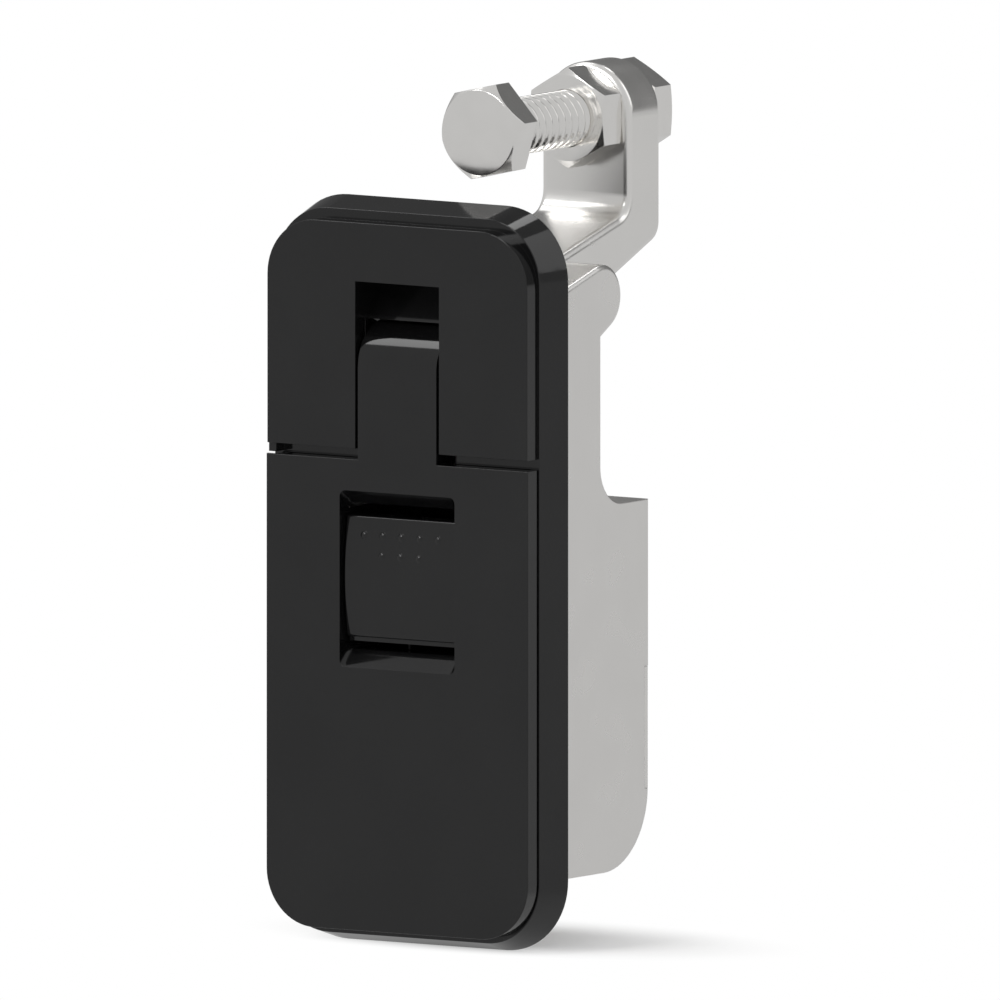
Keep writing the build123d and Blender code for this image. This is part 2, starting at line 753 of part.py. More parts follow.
# ---- catch ---------------------------------------------------------------------------------------
hook_back = button_back + hook_plate
with BuildPart() as catch_hook:
    with BuildSketch(Plane.YZ) as hook_outline:
        with BuildLine():
            Polyline(
                (button_back, hook_bottom),
                (button_back, hook_plate_top),
                (hook_back, hook_plate_top),
                (hook_back, hook_bottom + hook_thickness),
                (hook_reach - hook_nose, hook_bottom + hook_thickness),
                (hook_reach - hook_nose, hook_tip),
                (hook_reach, hook_tip),
                (hook_reach, hook_bottom),
                close=True,
            )
        make_face()
        tip = hook_outline.vertices().sort_by_distance((hook_reach, hook_tip))[0]
        chamfer(tip, hook_lead)
        bends = hook_outline.vertices().group_by(Axis.Y)[0].sort_by(Axis.X)
        fillet(bends, hook_plate / 2)
    extrude(amount=hook_half_width, both=True)
    with Locations(facing(hook_back)):
        with Locations(*catch_screw_places):
            Cylinder(catch_screw_radius + PIN_FIT, 4 * hook_plate, mode=Mode.SUBTRACT)

catch_screws = pan_head_screws(
    catch_screw_places,
    hook_back,
    catch_screw_head,
    catch_screw_rise,
    catch_screw_radius,
    catch_screw_length,
)

with BuildPart() as strike_bar:
    with BuildSketch(across(-housing_half_width + SWING_GAP)):
        with Locations((strike_y, strike_z)):
            Circle(strike_radius)
    extrude(amount=housing_half_width - SWING_GAP + blind_end - SIDE_GAP)

# ---- arm -----------------------------------------------------------------------------------------
arm_top = bolt_z + arm_half_width
arm_touch_high = polar(arm_pivot, 90 + arm_front_slope, arm_hub_radius)
inner_bend_z = arm_touch_high[1] + (arm_front - arm_touch_high[0]) * tan(radians(arm_front_slope))
arm_heel = (arm_rear, arm_heel_z)
arm_touch_low = tangent_point(arm_heel, arm_pivot, arm_hub_radius, 1)
with BuildPart() as arm:
    with BuildSketch(Plane.YZ) as arm_outline:
        with BuildLine():
            Polyline(
                arm_pivot,
                arm_touch_high,
                (arm_front, inner_bend_z),
                (arm_front, arm_top),
                (arm_rear, arm_top),
                arm_heel,
                arm_touch_low,
                close=True,
            )
        make_face()
        bend = arm_outline.vertices().sort_by_distance((arm_front, inner_bend_z))[0]
        fillet(bend, arm_inner_bend)
        bend = arm_outline.vertices().sort_by_distance(arm_heel)[0]
        fillet(bend, arm_outer_bend)
        with Locations(arm_pivot):
            Circle(arm_hub_radius)
    extrude(amount=arm_half_width, both=True)
    # rounded eye about the bolt
    with BuildSketch(facing(arm_rear)):
        with Locations((0, bolt_z)):
            Rectangle(2 * arm_half_width + 2, arm_half_width + 1, align=(Align.CENTER, Align.MIN))
            Circle(arm_half_width, mode=Mode.SUBTRACT)
    extrude(amount=arm_rear - arm_front, mode=Mode.SUBTRACT)
    rims = arm.edges().filter_by(Axis.X, reverse=True).filter_by(Axis.Y, reverse=True)
    fillet(rims, arm_round)
    # ears for the link pin
    with BuildSketch(Plane.YZ):
        with Locations(arm_eye):
            Circle(crank_eye_radius)
        with BuildLine():
            Polyline(
                arm_pivot,
                polar(arm_pivot, crank_angle - 90, crank_eye_radius),
                polar(arm_eye, crank_angle - 90, crank_eye_radius),
                arm_eye,
                close=True,
            )
        make_face()
    extrude(amount=arm_half_width - arm_round, both=True)
    # room for the link between the ears
    with BuildSketch(Plane.YZ):
        with BuildLine():
            Polyline(
                *swing_room(arm_eye, link_direction + 180, lever_travel, link_room, link_span),
                close=True,
            )
        make_face()
        with Locations(arm_eye):
            Circle(link_room)
    extrude(amount=link_gap, both=True, mode=Mode.SUBTRACT)
    # bores
    with BuildSketch(Plane.YZ):
        with Locations(arm_pivot):
            Circle(arm_pin_radius + TURN_FIT)
        with Locations(arm_eye):
            Circle(link_pin_radius + PIN_FIT)
    extrude(amount=arm_half_width + 1, both=True, mode=Mode.SUBTRACT)
    with BuildSketch(facing(arm_rear)):
        with Locations((0, bolt_z)):
            Circle(bolt_radius + bolt_hole_fit)
    extrude(amount=arm_rear - arm_front, mode=Mode.SUBTRACT)

with BuildPart() as arm_washers:
    for side in (1, -1):
        with BuildSketch(across(side * (arm_half_width + SIDE_GAP))):
            with Locations(arm_pivot):
                Circle(lobe_radius - SIDE_GAP)
                Circle(arm_pin_radius + TURN_FIT, mode=Mode.SUBTRACT)
        extrude(amount=side * washer_thickness)

with BuildPart() as arm_pin:
    with BuildSketch(across(-housing_half_width + SWING_GAP)):
        with Locations(arm_pivot):
            Circle(arm_pin_radius)
    extrude(amount=housing_half_width - SWING_GAP + blind_end - SIDE_GAP)

# ---- link and its pins ---------------------------------------------------------------------------
with BuildPart() as link:
    with BuildSketch(Plane.YZ):
        with Locations(polar(lever_eye, link_direction, link_length / 2)):
            SlotCenterToCenter(link_length, 2 * link_round, rotation=link_direction)
        with Locations(lever_eye):
            Circle(link_pin_radius + TURN_FIT, mode=Mode.SUBTRACT)
        with Locations(arm_eye):
            Circle(link_pin_radius + OPEN_FIT, mode=Mode.SUBTRACT)
    extrude(amount=link_half_width, both=True)

with BuildPart() as link_pin_front:
    with BuildSketch(Plane.YZ):
        with Locations(lever_eye):
            Circle(link_pin_radius)
    extrude(amount=neck_half_width - SIDE_GAP, both=True)

with BuildPart() as link_pin_rear:
    with BuildSketch(Plane.YZ):
        with Locations(arm_eye):
            Circle(link_pin_radius)
    extrude(amount=arm_half_width - arm_round - SIDE_GAP, both=True)


# ---- adjusting bolt and its nuts -----------------------------------------------------------------
def hexagon(front, height, turn, slope, both_ends):
    """Hexagon prism on the bolt's axis, chamfered in front or at both ends."""
    face = hex_across_flats / 2 - hex_face_inset
    wide = face + height / tan(radians(slope))
    with BuildPart() as blank:
        with BuildSketch(facing(front)):
            with Locations((0, bolt_z)):
                RegularPolygon(hex_across_flats / 2, 6, major_radius=False, rotation=turn)
        extrude(amount=-height)
        middle = Location((0, front + height / 2, bolt_z), (90, 0, 0))
        with Locations(middle):
            Cone(wide, face, height, mode=Mode.INTERSECT)
        if both_ends:
            with Locations(middle):
                Cone(face, wide, height, mode=Mode.INTERSECT)
    return blank.part


bolt_head = hexagon(bolt_head_front, bolt_head_height, bolt_head_turn, bolt_head_slope, False)
bolt_shoulder = bolt_head_front + bolt_head_height
bolt_end = arm_rear + nut_height + bolt_end_past_nut
with BuildPart() as adjusting_bolt:
    add(bolt_head)
    with BuildSketch(facing(bolt_end)):
        with Locations((0, bolt_z)):
            Circle(bolt_radius)
    extrude(amount=bolt_end - bolt_shoulder)
    chamfer(adjusting_bolt.faces().sort_by(Axis.Y)[-1].edges(), bolt_end_chamfer)

front_blank = hexagon(arm_front - nut_height, nut_height, nut_turn, nut_slope, True)
rear_blank = hexagon(arm_rear, nut_height, nut_turn, nut_slope, True)
with BuildPart() as front_nut:
    add(front_blank)
    with Locations((0, arm_front, bolt_z)):
        Cylinder(bolt_radius + bolt_thread_fit, 4 * nut_height, rotation=(90, 0, 0), mode=Mode.SUBTRACT)

with BuildPart() as rear_nut:
    add(rear_blank)
    with Locations((0, arm_rear, bolt_z)):
        Cylinder(bolt_radius + bolt_thread_fit, 4 * nut_height, rotation=(90, 0, 0), mode=Mode.SUBTRACT)

# ---- screws --------------------------------------------------------------------------------------
with BuildPart() as housing_screws:
    head_depth = screw_head_radius - screw_radius
    with BuildSketch(Plane.XY) as screw_outline:
        with BuildLine():
            Polyline(
                (0, 0),
                (screw_head_radius, 0),
                (screw_radius, -head_depth),
                (screw_radius, -screw_length),
                (0, -screw_length),
                close=True,
            )
        make_face()
    screw = revolve(screw_outline.sketch, axis=Axis.Y, mode=Mode.PRIVATE)
    with Locations(*[Location((x, pocket_floor, z), (180, 0, 0)) for x, z in screw_places]):
        add(screw)

cover_screws = pan_head_screws(
    cover_screw_places,
    housing_depth,
    cover_screw_head,
    cover_screw_rise,
    cover_screw_radius,
    cover_screw_length,
)

# ---- files ---------------------------------------------------------------------------------------
pieces = {
    "bezel": bezel,
    "gasket": gasket,
    "housing": housing,
    "back_cover": back_cover,
    "housing_screws": housing_screws,
    "cover_screws": cover_screws,
    "lever": lever,
    "lever_pin": lever_pin,
    "lever_washers": lever_washers,
    "button": button,
    "button_pin": button_pin,
    "button_spring": button_spring,
    "catch_hook": catch_hook,
    "catch_screws": catch_screws,
    "strike_bar": strike_bar,
    "arm": arm,
    "arm_pin": arm_pin,
    "arm_washers": arm_washers,
    "link": link,
    "link_pin_front": link_pin_front,
    "link_pin_rear": link_pin_rear,
    "adjusting_bolt": adjusting_bolt,
    "front_nut": front_nut,
    "rear_nut": rear_nut,
}

os.makedirs("parts", exist_ok=True)
for name, piece in pieces.items():
    piece.part.label = name
    export_step(piece.part, f"parts/{name}.step")
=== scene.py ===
"""Looks of a lever compression latch: finishes, threaded hardware, light and camera."""

import logging
import math
from collections.abc import Callable, Iterable, Sequence
from dataclasses import dataclass
from enum import Enum

import bmesh
import bpy
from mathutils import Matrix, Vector


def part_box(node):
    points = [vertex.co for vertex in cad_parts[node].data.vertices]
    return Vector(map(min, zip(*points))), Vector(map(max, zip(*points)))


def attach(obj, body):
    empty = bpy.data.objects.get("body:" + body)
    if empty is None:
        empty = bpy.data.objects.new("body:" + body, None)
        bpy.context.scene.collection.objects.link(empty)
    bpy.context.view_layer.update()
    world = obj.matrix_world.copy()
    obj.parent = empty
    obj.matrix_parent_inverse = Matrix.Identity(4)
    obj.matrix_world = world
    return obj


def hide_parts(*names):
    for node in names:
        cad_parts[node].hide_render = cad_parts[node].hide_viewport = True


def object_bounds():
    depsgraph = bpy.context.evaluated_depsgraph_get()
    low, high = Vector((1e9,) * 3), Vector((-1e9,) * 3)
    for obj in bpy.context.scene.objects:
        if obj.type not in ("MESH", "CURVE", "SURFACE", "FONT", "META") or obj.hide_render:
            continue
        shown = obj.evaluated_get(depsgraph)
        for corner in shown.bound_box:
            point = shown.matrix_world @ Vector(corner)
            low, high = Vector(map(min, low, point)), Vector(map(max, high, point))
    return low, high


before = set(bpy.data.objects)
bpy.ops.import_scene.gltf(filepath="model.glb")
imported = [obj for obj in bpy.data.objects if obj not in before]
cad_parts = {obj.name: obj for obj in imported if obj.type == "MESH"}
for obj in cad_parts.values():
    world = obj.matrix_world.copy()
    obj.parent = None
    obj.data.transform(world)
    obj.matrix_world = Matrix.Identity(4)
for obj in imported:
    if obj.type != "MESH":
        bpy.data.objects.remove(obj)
CAD_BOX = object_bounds()

MM = 0.001
MICRON = 0.000001
FULL_TURN = 2.0 * math.pi
log = logging.getLogger("latch")

Triple = tuple[float, float, float]
Colour = Triple
Span = tuple[float, float]
Socket = bpy.types.NodeSocket
Input = Socket | float
Box = tuple[Vector, Vector]
Polar = Callable[[float], float]
Profile = Sequence[tuple[Polar, Polar]]

EVEN: Triple = (1.0, 1.0, 1.0)
NOISE_REACH: Span = (0.3, 0.7)  # most of a noise's values lie in here
BEND_REACH: Span = (0.005, 0.2)  # 1 less the cosine of the normal's turn: first and full wear
WEAR_PATCHES: Span = (0.2, 1.0)  # share of the wear that its noise leaves
BEVEL_SAMPLES = 4


# ---- shader graphs ---------------------------------------------------------
@dataclass(frozen=True)
class Grain:
    """A noise: repeats for each metre, octaves, and factors along X, Y and Z that draw it out."""

    scale: float
    detail: float = 3.0
    stretch: Triple = EVEN


@dataclass(frozen=True)
class Wear:
    """Rubbed edges: their reach in metres, their strongest share, and the noise in them."""

    reach: float
    amount: float
    grain: Grain


class NodeTree:
    """A shader node tree, emptied and built step by step."""

    def __init__(self, tree: bpy.types.NodeTree) -> None:
        """Empty a tree.

        Args:
            tree: the tree of a material or a world.
        """
        self.tree = tree
        self.tree.nodes.clear()

    def node(self, kind: str, **settings: object) -> bpy.types.Node:
        """Add a node and set its properties.

        Args:
            kind: the node's type without the ShaderNode prefix.
            settings: properties of the node, by name.

        Returns:
            The new node.
        """
        made = self.tree.nodes.new("ShaderNode" + kind)
        for key, value in settings.items():
            setattr(made, key, value)
        return made

    def link(self, source: Socket, target: Socket) -> None:
        """Join two sockets."""
        self.tree.links.new(source, target)

    def compute(self, operation: str, first: Input, second: Input) -> Socket:
        """Add a Math node on sockets or plain numbers.

        Args:
            operation: the node's operation.
            first: a socket or a number.
            second: a socket or a number.

        Returns:
            The result.
        """
        step = self.node("Math", operation=operation)
        for place, value in enumerate((first, second)):
            if isinstance(value, (int, float)):
                step.inputs[place].default_value = value
            else:
                self.link(value, step.inputs[place])
        return step.outputs["Value"]

    def mapped(self, source: Socket, reach: Span, result: Span, smooth: bool = False) -> Socket:
        """Map a value from one range to another, held at its ends.

        Args:
            source: the value.
            reach: the range it is taken from.
            result: the range it is mapped to.
            smooth: whether the steps at the ends are softened.

        Returns:
            The mapped value.
        """
        ranged = self.node("MapRange", interpolation_type="SMOOTHSTEP" if smooth else "LINEAR")
        for name, value in zip(("From Min", "From Max", "To Min", "To Max"), (*reach, *result)):
            ranged.inputs[name].default_value = value
        self.link(source, ranged.inputs["Value"])
        return ranged.outputs["Result"]

    def either(self, share: Socket, first: Socket, second: Socket) -> Socket:
        """Mix two shaders.

        Args:
            share: 0 gives the first shader and 1 the second.
            first: a shader.
            second: a shader.

        Returns:
            The mixed shader.
        """
        mix = self.node("MixShader")
        self.link(share, mix.inputs["Fac"])
        self.link(first, mix.inputs[1])
        self.link(second, mix.inputs[2])
        return mix.outputs["Shader"]


class Graph(NodeTree):
    """A material's node tree with one Principled shader."""

    def __init__(self, name: str) -> None:
        """Start an empty material.

        Args:
            name: the material's name.
        """
        self.material = bpy.data.materials.new(name)
        self.material.use_nodes = True
        super().__init__(self.material.node_tree)
        self.output = self.node("OutputMaterial")
        self.shader = self.node("BsdfPrincipled")
        self.link(self.shader.outputs["BSDF"], self.output.inputs["Surface"])

    def place(self) -> Socket:
        """Return the surface point in the object's own metres."""
        return self.node("TexCoord").outputs["Object"]

    def noise(self, grain: Grain) -> Socket:
        """Add a noise texture.

        Args:
            grain: the noise.

        Returns:
            The noise's factor.
        """
        mapping = self.node("Mapping")
        mapping.inputs["Scale"].default_value = grain.stretch
        self.link(self.place(), mapping.inputs["Vector"])
        texture = self.node("TexNoise")
        texture.inputs["Scale"].default_value = grain.scale
        texture.inputs["Detail"].default_value = grain.detail
        self.link(mapping.outputs["Vector"], texture.inputs["Vector"])
        return texture.outputs["Fac"]

    def spread(self, source: Socket, low: float, high: float) -> Socket:
        """Map the reach of a noise to a range.

        Args:
            source: the noise's factor.
            low: value at the lower end of the reach.
            high: value at its upper end.

        Returns:
            The mapped value.
        """
        return self.mapped(source, NOISE_REACH, (low, high))

    def tint(self, share: Socket, under: Socket, over: Colour) -> Socket:
        """Lay a colour over what is under it.

        Args:
            share: how much of the new colour shows.
            under: the colour below.
            over: the colour above, linear RGB.

        Returns:
            The mixed colour.
        """
        mix = self.node("MixRGB")
        mix.inputs["Color2"].default_value = (*over, 1.0)
        self.link(share, mix.inputs["Fac"])
        self.link(under, mix.inputs["Color1"])
        return mix.outputs["Color"]

    def clouded(self, grain: Grain, first: Colour, second: Colour) -> Socket:
        """Mix two colours by a noise.

        Args:
            grain: the noise.
            first: linear RGB where the noise is low.
            second: linear RGB where the noise is high.

        Returns:
            The mixed colour.
        """
        mix = self.node("MixRGB")
        mix.inputs["Color1"].default_value = (*first, 1.0)
        mix.inputs["Color2"].default_value = (*second, 1.0)
        self.link(self.spread(self.noise(grain), 0.0, 1.0), mix.inputs["Fac"])
        return mix.outputs["Color"]

    def gloss(self, grain: Grain, roughness: float, spread: float) -> None:
        """Give the shader a roughness that varies by a noise.

        Args:
            grain: the noise.
            roughness: the mean roughness.
            spread: how far it goes up and down.
        """
        rough = self.spread(self.noise(grain), roughness - spread, roughness + spread)
        self.link(rough, self.shader.inputs["Roughness"])

    def within(self, box: Box) -> Socket:
        """Mark the points inside a box of the object's own space.

        Args:
            box: the box's lowest and highest corners, in metres.

        Returns:
            1 inside the box and 0 outside it.
        """
        axes = self.node("SeparateXYZ")
        self.link(self.place(), axes.inputs["Vector"])
        tests = []
        for axis, least, most in zip("XYZ", *box):
            tests.append(self.compute("GREATER_THAN", axes.outputs[axis], least))
            tests.append(self.compute("LESS_THAN", axes.outputs[axis], most))
        share = tests[0]
        for test in tests[1:]:
            share = self.compute("MULTIPLY", share, test)
        return share

    def worn(self, wear: Wear, base: Socket, rubbed: Colour) -> None:
        """Give the shader its base colour, rubbed along convex and concave edges.

        Args:
            wear: the rubbed edges.
            base: the colour beside the edges.
            rubbed: the colour at the edges, linear RGB.
        """
        bevel = self.node("Bevel", samples=BEVEL_SAMPLES)
        bevel.inputs["Radius"].default_value = wear.reach
        turned = self.node("VectorMath", operation="DOT_PRODUCT")
        self.link(bevel.outputs["Normal"], turned.inputs[0])
        self.link(self.node("NewGeometry").outputs["Normal"], turned.inputs[1])
        bend = self.compute("SUBTRACT", 1.0, turned.outputs["Value"])
        strength = self.mapped(bend, BEND_REACH, (0.0, wear.amount))
        patches = self.spread(self.noise(wear.grain), *WEAR_PATCHES)
        share = self.compute("MULTIPLY", strength, patches)
        self.link(self.tint(share, base, rubbed), self.shader.inputs["Base Color"])

    def relief(self, heights: Iterable[tuple[Grain, float]], edge: float) -> None:
        """Give the shader a normal with fine relief and softened edges.

        Args:
            heights: noises with their depths in metres.
            edge: radius of the softened edges, in metres.
        """
        bevel = self.node("Bevel", samples=BEVEL_SAMPLES)
        bevel.inputs["Radius"].default_value = edge
        normal = bevel.outputs["Normal"]
        for grain, depth in heights:
            bump = self.node("Bump")
            bump.inputs["Distance"].default_value = depth
            bump.inputs["Strength"].default_value = 1.0
            self.link(self.noise(grain), bump.inputs["Height"])
            self.link(normal, bump.inputs["Normal"])
            normal = bump.outputs["Normal"]
        self.link(normal, self.shader.inputs["Normal"])


# ---- finishes ----------------------------------------------------------------
@dataclass(frozen=True)
class PowderCoat:
    """Thin satin black coat over a casting, with orange peel and rubbed edges."""

    name: str
    colour: Colour = (0.0034, 0.0034, 0.0036)
    dust: Colour = (0.0052, 0.0052, 0.0054)
    rubbed: Colour = (0.012, 0.012, 0.0125)
    roughness: float = 0.075
    spread: float = 0.02
    index: float = 1.50
    edge: float = 0.07 * MM
    peel_depth: float = 0.4 * MICRON
    peel: Grain = Grain(1500.0, 2.0)
    cloud: Grain = Grain(70.0, 4.0)
    smears: Grain = Grain(160.0, 5.0)
    wear: Wear = Wear(0.2 * MM, 0.3, Grain(900.0))

    def material(self) -> bpy.types.Material:
        """Build the node material.

        Returns:
            The material.
        """
        g = Graph(self.name)
        g.worn(self.wear, g.clouded(self.cloud, self.colour, self.dust), self.rubbed)
        g.gloss(self.smears, self.roughness, self.spread)
        g.shader.inputs["IOR"].default_value = self.index
        g.relief([(self.peel, self.peel_depth)], self.edge)
        return g.material


@dataclass(frozen=True)
class CastMetal:
    """Bare die-cast zinc, tumbled satin, with faint flow marks, a fine grain and painted shade in
    given hollows.
    """

    name: str
    light: Colour = (0.905, 0.893, 0.873)
    dark: Colour = (0.880, 0.868, 0.848)
    bright: Colour = (0.95, 0.94, 0.925)
    # painted shade: near-black colour laid over the metal inside the housing's hollow, where it
    # lies in shade
    hollow_shade: Colour = (0.020, 0.019, 0.018)
    roughness: float = 0.29
    spread: float = 0.03
    edge: float = 0.2 * MM
    fine_depth: float = 0.4 * MICRON
    fine: Grain = Grain(2600.0, 2.0)
    broad: Grain = Grain(240.0, 3.0)
    broad_share: float = 2.0  # depth of the broad relief over that of the fine one
    flow: Grain = Grain(45.0, 5.0, (1.0, 1.0, 0.35))
    smears: Grain = Grain(120.0, 6.0)
    wear: Wear = Wear(0.2 * MM, 0.5, Grain(700.0))

    def material(self, hollows: Sequence[Box] = ()) -> bpy.types.Material:
        """Build the node material.

        Args:
            hollows: boxes in which the casting gets a painted shade, a near-black colour for the
                shade inside its hollow.

        Returns:
            The material.
        """
        g = Graph(self.name)
        base = g.clouded(self.flow, self.dark, self.light)
        # painted shade: each box of the hollow is tinted near black
        for box in hollows:
            base = g.tint(g.within(box), base, self.hollow_shade)
        g.worn(self.wear, base, self.bright)
        g.shader.inputs["Metallic"].default_value = 1.0
        g.gloss(self.smears, self.roughness, self.spread)
        broad_depth = self.broad_share * self.fine_depth
        g.relief([(self.fine, self.fine_depth), (self.broad, broad_depth)], self.edge)
        return g.material


class Lay(Enum):
    """Direction of the fine lines that tools leave in a metal surface."""

    NONE = EVEN
    ALONG_Y = (1.0, 0.04, 1.0)
    ALONG_Z = (1.0, 1.0, 0.04)


@dataclass(frozen=True)
class PlatedSteel:
    """Plated or ground steel with fine tool lines and rubbed edges."""

    name: str
    lay: Lay = Lay.NONE
    light: Colour = (0.925, 0.913, 0.893)
    dark: Colour = (0.900, 0.888, 0.868)
    bright: Colour = (0.96, 0.95, 0.935)
    roughness: float = 0.20
    spread: float = 0.03
    edge: float = 0.12 * MM
    line_depth: float = 0.6 * MICRON
    line_scale: float = 3000.0
    line_detail: float = 2.0
    cloud: Grain = Grain(260.0, 4.0)
    smears: Grain = Grain(500.0, 4.0)
    wear: Wear = Wear(0.2 * MM, 0.6, Grain(1500.0))

    def material(self) -> bpy.types.Material:
        """Build the node material.

        Returns:
            The material.
        """
        g = Graph(self.name)
        g.worn(self.wear, g.clouded(self.cloud, self.dark, self.light), self.bright)
        g.shader.inputs["Metallic"].default_value = 1.0
        g.gloss(self.smears, self.roughness, self.spread)
        lines = Grain(self.line_scale, self.line_detail, self.lay.value)
        g.relief([(lines, self.line_depth)], self.edge)
        return g.material


@dataclass(frozen=True)
class Moulded:
    """Moulded plastic or rubber with a fine matt texture."""

    name: str
    colour: Colour
    shade: Colour
    roughness: float
    spread: float = 0.06
    edge: float = 0.15 * MM
    grain_depth: float = 3.0 * MICRON
    grain: Grain = Grain(2200.0)
    cloud: Grain = Grain(150.0, 4.0)
    smears: Grain = Grain(300.0)

    def material(self) -> bpy.types.Material:
        """Build the node material.

        Returns:
            The material.
        """
        g = Graph(self.name)
        g.link(g.clouded(self.cloud, self.colour, self.shade), g.shader.inputs["Base Color"])
        g.gloss(self.smears, self.roughness, self.spread)
        g.relief([(self.grain, self.grain_depth)], self.edge)
        return g.material


# ---- mesh helpers ----------------------------------------------------------------
def flat(value: float) -> Polar:
    """Return a function of the angle that is the same all round."""
    return lambda angle: value


def hexagon(half_flats: float, turn: float) -> Polar:
    """Outline of a hexagon in polar form.

    Args:
        half_flats: distance from the axis to a flat.
        turn: angle of one corner, in radians.

    Returns:
        The radius at an angle.
    """
    sixth = FULL_TURN / 6.0

    def radius(angle: float) -> float:
        """Radius of the hexagon at an angle."""
        inside = (angle - turn) % sixth - sixth / 2.0
        return half_flats / math.cos(inside)

    return radius


def cross(arm: float, half_width: float, turn: float) -> Polar:
    """Outline of a cross with four equal arms in polar form.

    Args:
        arm: length of an arm from the axis.
        half_width: half the width of an arm.
        turn: angle of one arm, in radians.

    Returns:
        The radius at an angle.
    """
    quarter = FULL_TURN / 4.0
    least_sine = half_width / (2.0 * arm)  # below this the arm's end bounds the outline

    def radius(angle: float) -> float:
        """Radius of the cross at an angle."""
        inside = abs((angle - turn + quarter / 2.0) % quarter - quarter / 2.0)
        return min(arm / math.cos(inside), half_width / max(math.sin(inside), least_sine))

    return radius


def turn_rings(
    mesh: bmesh.types.BMesh, profile: Profile, steps: int, axis: Vector, start: float
) -> None:
    """Add a surface round an axis along Y, closed at the ends, from rings.

    Args:
        mesh: the mesh that gets the surface.
        profile: rings as radius and depth functions of the angle, in order.
        steps: points in each ring.
        axis: a point of the axis, whose Y is the zero of the depths.
        start: first angle, in radians.
    """
    rings = []
    for radius, depth in profile:
        ring = []
        for i in range(steps):
            angle = start + FULL_TURN * i / steps
            r = radius(angle)
            offset = Vector((r * math.cos(angle), depth(angle), r * math.sin(angle)))
            ring.append(mesh.verts.new(axis + offset))
        rings.append(ring)
    for low, high in zip(rings, rings[1:]):
        for i in range(steps):
            j = (i + 1) % steps
            mesh.faces.new((low[i], low[j], high[j], high[i]))
    mesh.faces.new(list(reversed(rings[0])))
    mesh.faces.new(rings[-1])


def finished(name: str, mesh: bmesh.types.BMesh, sharp: float) -> bpy.types.Object:
    """Shade a mesh and put it in the scene.

    Args:
        name: name of the new object.
        mesh: the mesh, which is freed.
        sharp: angle above which an edge stays sharp, in radians.

    Returns:
        The mesh object.
    """
    bmesh.ops.recalc_face_normals(mesh, faces=mesh.faces)
    for face in mesh.faces:
        face.smooth = True
    for edge in mesh.edges:
        edge.smooth = len(edge.link_faces) == 2 and edge.calc_face_angle(0.0) < sharp
    data = bpy.data.meshes.new(name)
    mesh.to_mesh(data)
    mesh.free()
    made = bpy.data.objects.new(name, data)
    bpy.context.scene.collection.objects.link(made)
    return made


def dress(material: bpy.types.Material, *names: str) -> None:
    """Give CAD nodes their material.

    Args:
        material: the finish.
        names: the nodes' names.
    """
    for name in names:
        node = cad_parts[name]
        if not node.material_slots:
            node.data.materials.append(material)
        for slot in node.material_slots:
            slot.material = material
        log.info("%s dressed in %s", name, material.name)


def adopt(
    piece: bpy.types.Object, body: str, slot: str, material: bpy.types.Material, *nodes: str
) -> None:
    """Tie a new piece to its body and material, and hide the CAD nodes that it stands for.

    Args:
        piece: the new object.
        body: the CAD body that it moves with.
        slot: not used.
        material: the finish.
        nodes: CAD nodes that it replaces.
    """
    piece.data.materials.clear()
    piece.data.materials.append(material)
    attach(piece, body)
    if nodes:
        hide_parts(*nodes)
    log.info("%s rides on %s", piece.name, body)


# ---- sub-assemblies -----------------------------------------------------------------
@dataclass
class FrontPlate:
    """The bezel and its gasket."""

    coat: PowderCoat = PowderCoat("bezel_black")
    rubber: Moulded = Moulded("gasket_rubber", (0.012, 0.012, 0.012), (0.02, 0.02, 0.02), 0.75)

    def dress(self) -> None:
        """Give the bezel and the gasket their finishes."""
        dress(self.coat.material(), "bezel")
        dress(self.rubber.material(), "gasket")


@dataclass
class PullLever:
    """The lever, and the pins and washers of the whole latch."""

    coat: PowderCoat = PowderCoat("lever_black", peel=Grain(1700.0, 2.0))
    pin: PlatedSteel = PlatedSteel("pin_ground")
    washer: Moulded = Moulded("washer_white", (0.62, 0.61, 0.58), (0.54, 0.53, 0.50), 0.5)
    pins: tuple[str, ...] = (
        "lever_pin",
        "link_pin_front",
        "link_pin_rear",
        "arm_pin",
        "button_pin",
        "strike_bar",
    )

    def dress(self) -> None:
        """Give the lever, the pins and the washers their finishes."""
        dress(self.coat.material(), "lever")
        dress(self.pin.material(), *self.pins)
        dress(self.washer.material(), "lever_washers", "arm_washers")


@dataclass(frozen=True)
class DomeRow:
    """A row of grip domes: how many, and how far below the top and behind the foremost one."""

    count: int
    drop: float
    set_back: float


